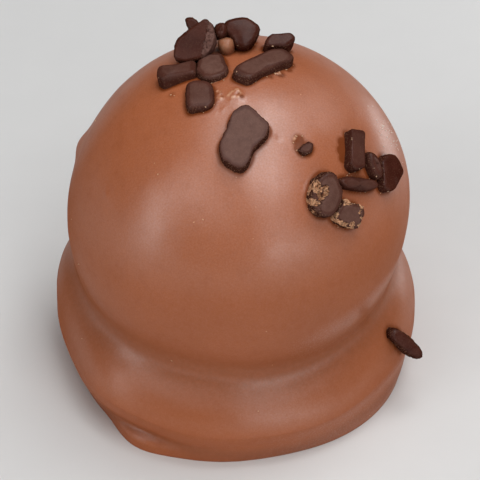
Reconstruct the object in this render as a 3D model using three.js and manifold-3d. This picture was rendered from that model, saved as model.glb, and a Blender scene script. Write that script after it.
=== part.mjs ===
// A domed milk chocolate praline with dark chocolate flakes on top, one solid.
// Millimetres, Z up. The origin is the middle of the flat base, and -Y is the front.
import * as THREE from "three";
import { mergeVertices } from "three/addons/utils/BufferGeometryUtils.js";
import Module from "manifold-3d";

// Dome: an egg that is rounder below its widest height than above it
const DOME_RADIUS = 12.9;
const DOME_WIDEST = 13.9;
const DOME_TOP = 27.0;
const DOME_DEPTH = 13.4;
// The dome leans this far to the right between these two heights
const LEAN = 0.5;
const LEAN_LOW = 8.0;
const LEAN_HIGH = 20.0;

// Belly: the coating that has settled into a fat ring round the lower half
const BELLY_RADIUS = 13.85;
const BELLY_LOW = -1.2;
const BELLY_HIGH = 9.2;
const BELLY_ROUND = 4.9;
// Each swell is [height, direction, width], in mm and degrees, with -90 at the front
const BELLY_RISE = [[1.1, 172, 32], [0.4, 10, 40], [-1.3, -125, 38], [-2.2, -65, 42]];
const BELLY_SWELL = [[-0.4, -162, 18], [0.5, -131, 16], [0.25, -104, 16], [-0.1, -38, 26]];
const BELLY_UNDERCUT = [[1.0, -128, 18]];

// Foot: the thin lip of coating that has run out onto the surface
const FOOT_RADIUS = 12.75;
const FOOT_HALF_HEIGHT = 1.3;
const FOOT_ROUND = 0.75;
const FOOT_SWELL = [[-0.6, -160, 20], [0.85, -123, 12], [0.6, -103, 22], [0.5, -38, 24]];

// The crease between dome and belly is soft at the front and sharper at the back
const CREASE_FRONT = 2.4;
const CREASE_BACK = 1.2;
const CREASE_WIDTH = 60;
const FRONT = -90;

// The lip runs softly into the belly, except at the front left, where a groove parts them
const FOOT_SOFT = 1.6;
const FOOT_SHARP = 0.5;
const LIP_MIDDLE = -118;
const LIP_WIDTH = 30;

// Lumps where the coating has run over something small: [x, y, z, height, width]
const LUMPS = [[-11.5, 3.2, 17.4, 0.4, 1.0], [0.2, -2.6, 26.7, 0.22, 0.55]];

// The surface is found along rays from this height on the axis
const HEART = 7;
const REACH_LEAST = 3;
const REACH_MOST = 26;
const HALVINGS = 40;
const STEEPEST = -1.4;
const SHALLOWEST = -0.2;

const AROUND = 72;
const ROWS = 34;
// Rows crowd towards the foot, where the lip is thin
const CROWDING = 0.35;

// Flakes: a slab with a rounded upper edge, sunk into the coating
const THICK = 1.25;
const SINK = 0.4;
const EDGE = 0.3;
const CORNER = 0.45;
const CORNER_STEPS = 2;
const EDGE_TURNS = [0, 45, 90];
const BASE_INSET = 0.1;

const smoothMin = (a, b, blend) => {
  const overlap = Math.max(blend - Math.abs(a - b), 0) / blend;
  return Math.min(a, b) - (overlap * overlap * blend) / 4;
};

const smoothStep = (low, high, value) => {
  const t = Math.min(Math.max((value - low) / (high - low), 0), 1);
  return t * t * (3 - 2 * t);
};

const bell = (angle, centre, width) => {
  const away = ((((THREE.MathUtils.radToDeg(angle) - centre + 180) % 360) + 360) % 360) - 180;
  return Math.exp(-((away / width) ** 2));
};

const swell = (angle, rows) => rows.reduce((sum, [height, centre, width]) => {
  return sum + height * bell(angle, centre, width);
}, 0);

// Distance to a disc with a rounded rim, lying level round the axis
const roundedDisc = (r, z, radius, middle, half, rounding) => {
  const across = r - (radius - rounding);
  const up = Math.abs(z - middle) - (half - rounding);
  const outside = Math.hypot(Math.max(across, 0), Math.max(up, 0));
  return outside + Math.min(Math.max(across, up), 0) - rounding;
};

const domeDistance = (x, y, z) => {
  const up = z - DOME_WIDEST;
  const half = up > 0 ? DOME_TOP - DOME_WIDEST : DOME_DEPTH;
  const lean = LEAN * smoothStep(LEAN_LOW, LEAN_HIGH, z);
  return Math.hypot(x - lean, y, (up * DOME_RADIUS) / half) - DOME_RADIUS;
};

const bellyDistance = (angle, r, z) => {
  const high = BELLY_HIGH + swell(angle, BELLY_RISE);
  const low = BELLY_LOW + swell(angle, BELLY_UNDERCUT);
  const radius = BELLY_RADIUS + swell(angle, BELLY_SWELL);
  return roundedDisc(r, z, radius, (high + low) / 2, (high - low) / 2, BELLY_ROUND);
};

const footDistance = (angle, r, z) => {
  const radius = FOOT_RADIUS + swell(angle, FOOT_SWELL);
  return roundedDisc(r, z, radius, 0, FOOT_HALF_HEIGHT, FOOT_ROUND);
};

// Below zero inside the praline, above zero outside
const distance = (x, y, z) => {
  const angle = Math.atan2(y, x);
  const r = Math.hypot(x, y);
  const crease = CREASE_BACK + (CREASE_FRONT - CREASE_BACK) * bell(angle, FRONT, CREASE_WIDTH);
  const coated = smoothMin(domeDistance(x, y, z), bellyDistance(angle, r, z), crease);
  const lip = FOOT_SOFT + (FOOT_SHARP - FOOT_SOFT) * bell(angle, LIP_MIDDLE, LIP_WIDTH);
  const body = smoothMin(coated, footDistance(angle, r, z), lip);
  return LUMPS.reduce((sum, [lx, ly, lz, height, width]) => {
    const away = Math.hypot(x - lx, y - ly, z - lz) / width;
    return sum - height * Math.exp(-away * away);
  }, body);
};

// Halves the span from low, where test is true, to high, where it is false
const bisect = (low, high, test) => {
  for (let step = 0; step < HALVINGS; step += 1) {
    const middle = (low + high) / 2;
    if (test(middle)) {
      low = middle;
    } else {
      high = middle;
    }
  }
  return (low + high) / 2;
};

const rayPoint = (angle, slope, reach) => new THREE.Vector3(
  reach * Math.cos(slope) * Math.cos(angle),
  reach * Math.cos(slope) * Math.sin(angle),
  HEART + reach * Math.sin(slope),
);

const surfacePoint = (angle, slope) => {
  const inside = (reach) => {
    const p = rayPoint(angle, slope, reach);
    return distance(p.x, p.y, p.z) < 0;
  };
  return rayPoint(angle, slope, bisect(REACH_LEAST, REACH_MOST, inside));
};

// The slope at which the surface meets the ground
const rimSlope = (angle) => bisect(SHALLOWEST, STEEPEST, (slope) => surfacePoint(angle, slope).z > 0);

const closedGeometry = (points, faces) => {
  const geometry = new THREE.BufferGeometry();
  geometry.setAttribute("position", new THREE.Float32BufferAttribute(points.flatMap((p) => [p.x, p.y, p.z]), 3));
  geometry.setIndex(faces.flat());
  return geometry;
};

// Joins rings of equal count, from the first to the last, with a point closing each end
const ringSolid = (first, rings, last) => {
  const count = rings[0].length;
  const points = [first, ...rings.flat(), last];
  const faces = [];
  const at = (ring, i) => 1 + ring * count + (i % count);
  for (let i = 0; i < count; i += 1) {
    faces.push([0, at(0, i + 1), at(0, i)]);
    for (let ring = 0; ring + 1 < rings.length; ring += 1) {
      faces.push([at(ring, i), at(ring, i + 1), at(ring + 1, i + 1)]);
      faces.push([at(ring, i), at(ring + 1, i + 1), at(ring + 1, i)]);
    }
    faces.push([points.length - 1, at(rings.length - 1, i), at(rings.length - 1, i + 1)]);
  }
  return closedGeometry(points, faces);
};

// The coated body, from the middle of its flat base up to its crown
const bodyGeometry = () => {
  const angles = Array.from({ length: AROUND }, (_, i) => (i * 2 * Math.PI) / AROUND);
  const rims = angles.map(rimSlope);
  const rings = [];
  for (let row = ROWS; row > 0; row -= 1) {
    const t = row / ROWS;
    const share = t * (1 + CROWDING - CROWDING * t);
    rings.push(angles.map((angle, i) => surfacePoint(angle, Math.PI / 2 + (rims[i] - Math.PI / 2) * share)));
  }
  rings[0].forEach((point) => point.setZ(0));
  return ringSolid(new THREE.Vector3(0, 0, 0), rings, surfacePoint(0, Math.PI / 2));
};

// Direction out of the surface, from how the distance changes a little way off
const outward = (p) => {
  const step = 0.001;
  const across = (axis) => {
    const ahead = p.clone().addScaledVector(axis, step);
    const behind = p.clone().addScaledVector(axis, -step);
    return distance(ahead.x, ahead.y, ahead.z) - distance(behind.x, behind.y, behind.z);
  };
  const x = across(new THREE.Vector3(1, 0, 0));
  const y = across(new THREE.Vector3(0, 1, 0));
  const z = across(new THREE.Vector3(0, 0, 1));
  return new THREE.Vector3(x, y, z).normalize();
};

// Outline of a flake: its corners, each cut round by a short curve
const outline = (corners, rounding) => {
  const points = [];
  corners.forEach(([x, y], i) => {
    const here = new THREE.Vector2(x, y);
    const ends = [corners.at(i - 1), corners[(i + 1) % corners.length]].map(([u, v]) => {
      const side = new THREE.Vector2(u, v).sub(here);
      return here.clone().add(side.setLength(Math.min(rounding, side.length() * 0.45)));
    });
    points.push(...new THREE.QuadraticBezierCurve(ends[0], here, ends[1]).getPoints(CORNER_STEPS));
  });
  return points;
};

// A flake on z = 0, its corners counted anticlockwise
const flakeGeometry = ({ corners, rounding = CORNER, thick = THICK, sink = SINK, edge = EDGE }) => {
  const flat = outline(corners, rounding);
  const top = thick - sink;
  const ring = (inset, height) => flat.map((p) => {
    const drawn = p.clone().setLength(p.length() - inset);
    return new THREE.Vector3(drawn.x, drawn.y, height);
  });
  const rings = [ring(BASE_INSET, -sink)];
  EDGE_TURNS.map(THREE.MathUtils.degToRad).forEach((turn) => {
    rings.push(ring(edge * (1 - Math.cos(turn)), top - edge + edge * Math.sin(turn)));
  });
  return ringSolid(new THREE.Vector3(0, 0, -sink), rings, new THREE.Vector3(0, 0, top));
};

const turned = (vector, axis, degrees) => vector.clone().applyAxisAngle(axis, THREE.MathUtils.degToRad(degrees));

// A flake's own frame: seen from outside, right is +x and the far side is +y.
// Tip lifts its far side, roll lifts its left side, turn spins it, and rise lifts all of it.
const seat = ({ at: [x, y], tip = 0, roll = 0, turn = 0, rise = 0 }) => {
  const z = bisect(HEART, DOME_TOP + 1, (height) => distance(x, y, height) < 0);
  const point = new THREE.Vector3(x, y, z);
  const normal = outward(point);
  const right = new THREE.Vector3(1, 0, 0).projectOnPlane(normal).normalize();
  const back = new THREE.Vector3().crossVectors(normal, right);
  const lean = (v) => turned(turned(v, right, tip), back, roll);
  const face = lean(normal);
  const side = turned(lean(right), face, turn);
  const far = new THREE.Vector3().crossVectors(face, side);
  return new THREE.Matrix4().makeBasis(side, far, face).setPosition(point.addScaledVector(normal, rise));
};

// A frame on a point, with its long side along one direction and its face towards another
const seatAlong = ({ root, along, face }) => {
  const side = new THREE.Vector3(...along).normalize();
  const out = new THREE.Vector3(...face).projectOnPlane(side).normalize();
  const far = new THREE.Vector3().crossVectors(out, side);
  return new THREE.Matrix4().makeBasis(side, far, out).setPosition(...root);
};

// Flakes that lie on the crown, as the front shows them
const CROWN_FLAKES = [
  { at: [0.5, -6.1], edge: 0.16, rounding: 0.5, corners: [
    [-0.7, 2.0], [-1.0, 0.9], [-1.65, -0.6], [-1.5, -1.75], [-0.6, -2.4], [0.0, -2.55], [0.55, -2.0],
    [0.85, -0.95], [1.8, 0.0], [2.1, 0.9], [0.65, 2.35], [0.2, 2.5]] },
  { at: [-2.55, -2.35], roll: 11, thick: 0.95, rounding: 0.3, corners: [
    [-1.0, 0.4], [-0.95, -0.75], [-0.7, -1.35], [-0.1, -1.45], [0.6, -1.25], [0.9, -0.95], [1.1, -0.3],
    [0.95, 0.7], [0.6, 1.2], [-0.3, 1.4], [-0.8, 1.2]] },
  { at: [-1.6, 0.65], roll: 6, thick: 0.85, rounding: 0.3, corners: [
    [-1.25, -0.65], [-0.7, -1.65], [-0.15, -1.8], [0.6, -1.55], [1.0, -1.25], [1.15, -0.75],
    [0.9, 0.65], [0.65, 1.3], [-0.05, 1.35], [-0.95, 0.9], [-1.15, 0.3]] },
  { at: [-4.2, 0.5], roll: 12, turn: 4, edge: 0.45, corners: [
    [-1.4, 0.75], [-1.5, -0.2], [-1.1, -0.95], [1.45, -0.85], [1.5, 0.7]] },
  { at: [2.1, 0.25], thick: 1.1, edge: 0.35, corners: [
    [-2.3, -1.05], [-2.1, -1.4], [-1.4, -1.85], [-0.95, -1.8], [-0.2, -1.05], [0.75, -0.25], [2.1, 0.9],
    [2.3, 1.5], [1.5, 2.15], [0.7, 2.0], [-0.05, 1.5], [-1.25, 0.45], [-2.15, -0.55]] },
  { at: [5.05, -6.0], thick: 0.85, edge: 0.2, corners: [
    [-0.35, 0.35], [-0.9, -0.35], [-0.1, -0.6], [0.45, -0.3], [0.65, 0.3], [0.3, 0.65]] },
];

// Flakes of the group on the right shoulder
const SHOULDER_FLAKES = [
  { at: [8.4, -4.7], edge: 0.3, corners: [
    [-0.55, 1.55], [-0.6, -1.3], [0.05, -1.6], [0.9, -1.2], [0.9, 1.75]] },
  { at: [9.9, -4.5], turn: -62, edge: 0.5, rounding: 0.7, corners: [
    [-0.7, 0.55], [-1.2, -0.25], [-0.6, -0.6], [0.7, -0.6], [1.25, 0.1], [0.7, 0.6]] },
  { at: [11.25, -3.7], thick: 1.05, edge: 0.22, rounding: 0.3, corners: [
    [-1.5, 0.6], [-1.35, -0.2], [-1.35, -1.3], [-0.8, -1.6], [0.2, -1.2], [0.8, -0.4], [1.6, 0.65],
    [0.85, 1.4], [0.2, 1.65], [-0.9, 1.3]] },
  { at: [8.75, -6.5], thick: 1.0, edge: 0.35, corners: [
    [-1.9, 0.15], [-1.2, -0.45], [1.0, -0.45], [2.1, 0.0], [1.8, 0.5], [-1.0, 0.55]] },
  { at: [6.35, -8.35], thick: 1.4, edge: 0.3, corners: [
    [-0.05, 1.85], [-0.95, 1.15], [-1.35, -0.2], [-1.15, -0.95], [-0.45, -1.5], [0.4, -1.5],
    [0.9, -0.95], [1.35, 0.2], [1.05, 1.0], [0.65, 1.75]] },
  { at: [7.95, -8.45], edge: 0.2, rounding: 0.2, corners: [
    [-0.35, 1.3], [-1.0, 0.6], [-1.35, -0.1], [-0.9, -0.65], [0.2, -1.0], [0.9, -0.95], [1.45, 0.15],
    [1.15, 0.7], [0.2, 0.9]] },
];

// Flakes that stand and lean on each other behind the crown
const LEANING_FLAKES = [
  { at: [-2.7, 2.5], rise: 1.25, tip: 52, roll: -4, rounding: 0.2, corners: [
    [-1.65, -0.75], [-1.5, -1.1], [-0.8, -1.4], [0.25, -1.5], [1.05, -1.1], [1.55, -0.55], [1.75, 0.0],
    [1.75, 0.85], [1.4, 1.4], [0.0, 1.0], [-0.95, 0.6], [-1.4, 0.1]] },
  { at: [-2.4, 4.2], rise: 1.35, tip: 60, turn: 20, thick: 0.95, edge: 0.4, corners: [
    [-0.5, 1.05], [-0.6, 0.2], [-0.6, -1.7], [0.3, -1.7], [0.3, 0.9], [0.1, 1.15], [-0.3, 1.3]] },
  { at: [0.55, 3.3], rise: 1.15, tip: 50, roll: 6, edge: 0.4, corners: [
    [-1.5, 0.65], [-1.35, -0.15], [-0.8, -0.55], [-0.45, -1.1], [0.1, -1.35], [0.6, -1.1], [1.0, -0.6],
    [1.3, 0.25], [1.2, 0.6], [0.55, 1.05], [0.1, 1.2], [-0.75, 1.0]] },
  { at: [-0.8, 3.2], rise: 1.5, tip: 45, edge: 0.4, corners: [
    [-0.5, -0.5], [-0.1, -0.8], [0.35, -0.5], [0.5, 0.05], [0.3, 0.45], [-0.15, 0.5], [-0.5, 0.25]] },
  { at: [3.25, 3.3], rise: 0.65, tip: 35, rounding: 0.3, corners: [
    [-1.25, -0.65], [-1.05, -0.95], [0.45, -0.6], [0.8, -0.2], [1.0, 0.25], [0.9, 0.55], [0.55, 0.7],
    [-0.1, 0.5], [-0.85, 0.25], [-1.1, -0.05]] },
  { at: [-0.6, 2.8], rise: 0.6, tip: 35, edge: 0.4, rounding: 0.6, corners: [
    [-0.65, 0.0], [-0.35, -0.65], [0.0, -0.8], [0.4, -0.7], [0.6, -0.3], [0.65, 0.15], [0.3, 0.45],
    [-0.3, 0.45], [-0.6, 0.25]] },
  { at: [0.4, 4.9], rise: 0.2, tip: 12, corners: [
    [-1.2, 0.8], [-1.1, -0.7], [1.2, -0.8], [1.0, 0.9]] },
  { at: [-3.0, 4.1], rise: 0.35, tip: 10, turn: 35, corners: [
    [-1.3, 0.6], [-1.2, -0.6], [1.1, -0.7], [1.3, 0.5]] },
];

// Flakes of the back, which the front doesn't show
const BACK_FLAKES = [
  { at: [1.3, 11.2], turn: 20, corners: [
    [-1.2, 1.0], [-1.3, -0.8], [0.4, -1.2], [1.3, -0.3], [0.9, 1.1]] },
  { at: [-3.7, 10.8], turn: -35, edge: 0.4, corners: [
    [-1.6, 0.6], [-1.6, -0.6], [1.5, -0.7], [1.6, 0.6]] },
  { at: [5.0, 11.2], turn: 60, corners: [
    [-1.0, 0.9], [-1.1, -0.8], [0.9, -1.0], [1.1, 0.8]] },
  { at: [-0.9, 12.2], thick: 0.85, corners: [
    [-0.7, 0.4], [-0.6, -0.5], [0.6, -0.4], [0.5, 0.5]] },
  { at: [7.7, 9.8], turn: -20, thick: 0.9, corners: [
    [-1.1, 0.4], [-0.9, -0.5], [1.0, -0.5], [0.9, 0.6]] },
  { at: [-7.1, 9.4], turn: 15, thick: 0.85, corners: [
    [-0.8, 0.7], [-0.9, -0.6], [0.7, -0.8], [0.9, 0.5]] },
];

// The long flake that stands out of the belly at the right
const STICK = { root: [13.1, -5.85, 5.05], along: [2.6, -0.4, -2.5], face: [0.3, -0.8, 0.6] };
const STICK_SHAPE = { thick: 1.2, edge: 0.45, rounding: 0.5, corners: [
  [-2.2, 0.35], [-2.1, -0.5], [0.2, -0.62], [1.1, -0.42], [1.4, 0.0], [0.9, 0.45], [-0.6, 0.62]] };

const COATING_COLOUR = 0xaf735a;
const COATING_ROUGHNESS = 0.42;

const library = await Module();
library.setup();

const toSolid = (geometry) => {
  geometry.deleteAttribute("normal");
  geometry.deleteAttribute("uv");
  const merged = mergeVertices(geometry, 1e-4);
  return new library.Manifold(new library.Mesh({
    numProp: 3,
    vertProperties: new Float32Array(merged.attributes.position.array),
    triVerts: new Uint32Array(merged.index.array),
  }));
};

const toGeometry = (solid) => {
  const mesh = solid.getMesh();
  const geometry = new THREE.BufferGeometry();
  geometry.setAttribute("position", new THREE.BufferAttribute(mesh.vertProperties, 3));
  geometry.setIndex(new THREE.BufferAttribute(mesh.triVerts, 1));
  return mergeVertices(geometry, 1e-4);
};

const flakes = [...CROWN_FLAKES, ...SHOULDER_FLAKES, ...LEANING_FLAKES, ...BACK_FLAKES];
const placed = flakes.map((flake) => flakeGeometry(flake).applyMatrix4(seat(flake)));
placed.push(flakeGeometry(STICK_SHAPE).applyMatrix4(seatAlong(STICK)));

const whole = placed.reduce((solid, flake) => solid.add(toSolid(flake)), toSolid(bodyGeometry()));
const praline = new THREE.Mesh(toGeometry(whole), new THREE.MeshStandardMaterial({
  color: COATING_COLOUR,
  roughness: COATING_ROUGHNESS,
  metalness: 0,
}));
praline.name = "praline";

const part = new THREE.Group();
part.add(praline);

export default part;
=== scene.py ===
# %% [markdown]
# # A domed milk chocolate praline with dark flakes
# A ball of filling was coated in milk chocolate, and broken flakes of dark chocolate were dropped on it
# while it was wet. The CAD model gives the place and the size. This script makes the fine skin, the
# flakes, a pale table, soft light and the camera.

# %% Load the frame
import math
import bpy
import numpy as np
from mathutils import Matrix, Vector, noise


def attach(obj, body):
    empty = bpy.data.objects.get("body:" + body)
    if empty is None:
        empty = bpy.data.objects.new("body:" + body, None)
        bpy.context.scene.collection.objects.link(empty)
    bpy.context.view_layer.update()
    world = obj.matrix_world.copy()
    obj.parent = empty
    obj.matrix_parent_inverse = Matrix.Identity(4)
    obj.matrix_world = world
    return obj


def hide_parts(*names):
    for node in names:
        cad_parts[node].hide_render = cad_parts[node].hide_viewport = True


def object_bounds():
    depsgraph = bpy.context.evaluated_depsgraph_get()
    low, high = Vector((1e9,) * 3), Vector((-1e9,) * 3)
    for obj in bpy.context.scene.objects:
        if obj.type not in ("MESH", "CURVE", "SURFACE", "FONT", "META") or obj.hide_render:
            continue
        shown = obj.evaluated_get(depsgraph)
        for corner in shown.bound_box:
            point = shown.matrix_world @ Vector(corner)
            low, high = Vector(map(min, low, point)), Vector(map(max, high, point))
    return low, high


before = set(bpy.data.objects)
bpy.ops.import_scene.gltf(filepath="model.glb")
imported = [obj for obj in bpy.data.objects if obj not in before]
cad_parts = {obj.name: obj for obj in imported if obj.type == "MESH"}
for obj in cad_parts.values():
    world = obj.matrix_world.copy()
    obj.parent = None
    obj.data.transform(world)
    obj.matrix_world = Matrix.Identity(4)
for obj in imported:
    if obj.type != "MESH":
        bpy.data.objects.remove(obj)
cad_low, cad_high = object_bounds()
MM = 0.001
print("CAD box in mm", [round(v / MM, 2) for v in (*cad_low, *cad_high)])

# %% [markdown]
# ## The form of the coating
# Gravity shaped the wet coating: a dome on top, a fat belly where it sagged, and a thin foot where it ran
# out. It could be sculpted, but a distance formula says the same with a few sizes: three simple bodies
# melt into each other, and how softly they melt decides how sharp the crease between them is.

# %% Ways to melt, swell and soften
def melt(a, b, softness):
    """The nearer of two distances, rounded where they meet."""
    overlap = np.maximum(softness - np.abs(a - b), 0) / softness
    return np.minimum(a, b) - overlap ** 2 * softness / 4


def bell(degrees, centre, width):
    """1 in one direction, falling softly to 0 on both sides."""
    away = (degrees - centre + 180) % 360 - 180
    return np.exp(-(away / width) ** 2)


def swell(degrees, swells):
    """The sum of bells, each with a height, a direction and a width."""
    return sum(height * bell(degrees, centre, width) for height, centre, width in swells)


def smooth(value):
    """A soft step from 0 to 1."""
    t = np.clip(value, 0, 1)
    return t * t * (3 - 2 * t)


print("half a step up:", float(smooth(0.5)))

# %% The egg of the dome
DOME_RADIUS = 12.9
DOME_WIDEST = 13.9
DOME_TOP = 27.0
DOME_DEPTH = 13.4
LEAN = 0.5
LEAN_LOW = 8.0
LEAN_HIGH = 20.0


def dome_distance(x, y, z):
    """Distance in mm to the egg, which leans to the right on its way up."""
    up = z - DOME_WIDEST
    half = np.where(up > 0, DOME_TOP - DOME_WIDEST, DOME_DEPTH)
    lean = LEAN * smooth((z - LEAN_LOW) / (LEAN_HIGH - LEAN_LOW))
    return np.sqrt((x - lean) ** 2 + y ** 2 + (up * DOME_RADIUS / half) ** 2) - DOME_RADIUS


print("dome", 2 * DOME_RADIUS, "mm across,", DOME_TOP, "mm high")

# %% The belly and the foot
BELLY_RADIUS = cad_high.y / MM
BELLY_LOW = -1.2
BELLY_HIGH = 9.2
BELLY_ROUND = 4.9
BELLY_RISE = ((1.1, 172, 32), (0.4, 10, 40), (-1.3, -125, 38), (-2.2, -65, 42))
BELLY_SWELL = ((-0.4, -162, 18), (0.5, -131, 16), (0.25, -104, 16), (-0.1, -38, 26))
BELLY_UNDERCUT = ((1.0, -128, 18),)
FOOT_RADIUS = 12.75
FOOT_HALF_HEIGHT = 1.3
FOOT_ROUND = 0.75
FOOT_SWELL = ((-0.6, -160, 20), (0.85, -123, 12), (0.6, -103, 22), (0.5, -38, 24))


def rounded_disc(r, z, radius, middle, half, rounding):
    """Distance in mm to a level disc with a rounded rim."""
    across = r - (radius - rounding)
    up = np.abs(z - middle) - (half - rounding)
    outside = np.hypot(np.maximum(across, 0), np.maximum(up, 0))
    return outside + np.minimum(np.maximum(across, up), 0) - rounding


def belly_distance(degrees, r, z):
    """Distance in mm to the belly, which is fatter in some directions."""
    high = BELLY_HIGH + swell(degrees, BELLY_RISE)
    low = BELLY_LOW + swell(degrees, BELLY_UNDERCUT)
    radius = BELLY_RADIUS + swell(degrees, BELLY_SWELL)
    return rounded_disc(r, z, radius, (high + low) / 2, (high - low) / 2, BELLY_ROUND)


def foot_distance(degrees, r, z):
    """Distance in mm to the foot, which ran out furthest at the front left."""
    return rounded_disc(r, z, FOOT_RADIUS + swell(degrees, FOOT_SWELL), 0, FOOT_HALF_HEIGHT, FOOT_ROUND)


print("belly", round(2 * BELLY_RADIUS, 2), "mm across, foot", 2 * FOOT_RADIUS, "mm across")

# %% [markdown]
# ## Dome, belly and foot as one skin
# In front the coating has filled the crease under the dome, and at the back the crease is sharper. One
# formula with a softness for each direction does both, and two lumps are added to it.

# %% The whole praline as one distance
CREASE_FRONT = 2.4
CREASE_BACK = 1.2
CREASE_WIDTH = 60
FRONT = -90
FOOT_SOFT = 1.6
FOOT_SHARP = 0.5
LIP_MIDDLE = -118
LIP_WIDTH = 30
LUMPS = ((-11.5, 3.2, 17.4, 0.4, 1.0), (0.2, -2.6, 26.7, 0.15, 0.45))


def praline_distance(x, y, z):
    """Distance in mm to the coating, below zero inside."""
    degrees = np.degrees(np.arctan2(y, x))
    r = np.hypot(x, y)
    softness = CREASE_BACK + (CREASE_FRONT - CREASE_BACK) * bell(degrees, FRONT, CREASE_WIDTH)
    coated = melt(dome_distance(x, y, z), belly_distance(degrees, r, z), softness)
    lip = FOOT_SOFT + (FOOT_SHARP - FOOT_SOFT) * bell(degrees, LIP_MIDDLE, LIP_WIDTH)
    body = melt(coated, foot_distance(degrees, r, z), lip)
    for lump_x, lump_y, lump_z, height, width in LUMPS:
        away = (x - lump_x) ** 2 + (y - lump_y) ** 2 + (z - lump_z) ** 2
        body = body - height * np.exp(-away / width ** 2)
    return body


print("distance at the crown:", round(float(praline_distance(0.0, 0.0, DOME_TOP)), 2), "mm")

# %% [markdown]
# ## From the formula to a skin of points
# A remesh would turn the distance into faces that run in every direction. Rays from one point inside
# give tidy rows instead, which shade smoothly. The last row lies exactly on the table.

# %% Find the skin along rays
HEART = 7.0
REACH_LEAST = 3.0
REACH_MOST = 26.0
HALVINGS = 34


def halved(low, high, is_beyond):
    """The range round the place where a test turns true, halved again and again."""
    for _ in range(HALVINGS):
        middle = (low + high) / 2
        beyond = is_beyond(middle)
        low, high = np.where(beyond, low, middle), np.where(beyond, middle, high)
    return low, high


def ray_point(angle, slope, reach):
    """The place at a reach along a ray from the heart."""
    flat = reach * np.cos(slope)
    return flat * np.cos(angle), flat * np.sin(angle), HEART + reach * np.sin(slope)


def skin_reach(angle, slope):
    """How far along each ray the skin lies, in mm."""
    low = np.full(np.broadcast(angle, slope).shape, REACH_LEAST)
    high = np.full_like(low, REACH_MOST)
    ends = halved(low, high, lambda reach: praline_distance(*ray_point(angle, slope, reach)) >= 0)
    return sum(ends) / 2


print("the crown lies", round(float(skin_reach(0.0, math.pi / 2)), 2), "mm above the heart")

# %% The slope at which each ray meets the table
AROUND = 330
STEEPEST = -1.4
SHALLOWEST = -0.2


def rim_slope(angle):
    """The slope of the ray that meets both the skin and the table."""
    low, high = np.full_like(angle, STEEPEST), np.full_like(angle, SHALLOWEST)
    ends = halved(low, high, lambda slope: ray_point(angle, slope, skin_reach(angle, slope))[2] > 0)
    return sum(ends) / 2


angles = np.arange(AROUND) * 2 * np.pi / AROUND
rims = rim_slope(angles)
print("rim slopes in degrees:", np.degrees([rims.min(), rims.max()]).round(1))

# %% The rows of the skin, from the table up to the crown
ROWS = 298
CROWDING = 0.35
steps = (np.arange(1, ROWS + 1) / ROWS)[:, None]
shares = steps * (1 + CROWDING - CROWDING * steps)
slopes = np.pi / 2 + (rims[None, :] - np.pi / 2) * shares
reaches = skin_reach(np.broadcast_to(angles, slopes.shape), slopes)
skin_rows = np.stack(ray_point(angles[None, :], slopes, reaches), axis=-1)
crown = np.array([0.0, 0.0, HEART + float(skin_reach(0.0, math.pi / 2))])
skin = np.concatenate([skin_rows[::-1].reshape(-1, 3), crown[None]])
print("rows", ROWS, "of", AROUND, "points, in all", len(skin))

# %% [markdown]
# ## Where a flake sits
# A flake lies on the slope it fell on. It could be placed by hand, but a seat found from a place in plan
# always touches: the distance formula gives its height and the direction out of the skin. Small turns
# then tip its far side up, roll its left side up or spin it, and flakes that stand on others are lifted.

# %% Directions out of the skin
NUDGE = 0.001


def climb(points):
    """How fast the distance grows along x, y and z at points."""
    growth = []
    for axis in np.eye(3) * NUDGE:
        ahead = praline_distance(*np.moveaxis(points + axis, -1, 0))
        behind = praline_distance(*np.moveaxis(points - axis, -1, 0))
        growth.append(ahead - behind)
    return np.stack(growth, axis=-1)


def outward(point):
    """The direction straight out of the coating at one point."""
    return Vector(climb(point)).normalized()


normals = climb(skin)
normals /= np.linalg.norm(normals, axis=-1, keepdims=True)
print("out of the crown:", [round(v, 2) for v in outward(crown)])

# %% A seat for a flake
def on_top(x, y):
    """The point of the skin over a place in plan, in mm."""
    return np.array([x, y, halved(HEART, DOME_TOP + 1, lambda z: praline_distance(x, y, z) >= 0)[0]])


def framed(point, side, face):
    """A frame from a point, a direction to the right and one out."""
    axes = Matrix((side, face.cross(side), face)).transposed()
    return Matrix.Translation(point) @ axes.to_4x4()


def seat(at, tip=0, roll=0, turn=0, rise=0):
    """A frame on the skin: x to the right, y to the far side, z out of the coating."""
    point = Vector(on_top(*at))
    normal = outward(np.array(point))
    right = (Vector((1, 0, 0)) - normal * normal.x).normalized()
    far = normal.cross(right)
    lean = Matrix.Rotation(math.radians(roll), 3, far) @ Matrix.Rotation(math.radians(tip), 3, right)
    face = lean @ normal
    side = Matrix.Rotation(math.radians(turn), 3, face) @ lean @ right
    return framed(point + normal * rise, side, face)


print("a seat near the crown:", [round(v, 2) for v in seat((0.5, -6.1)).translation])
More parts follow.
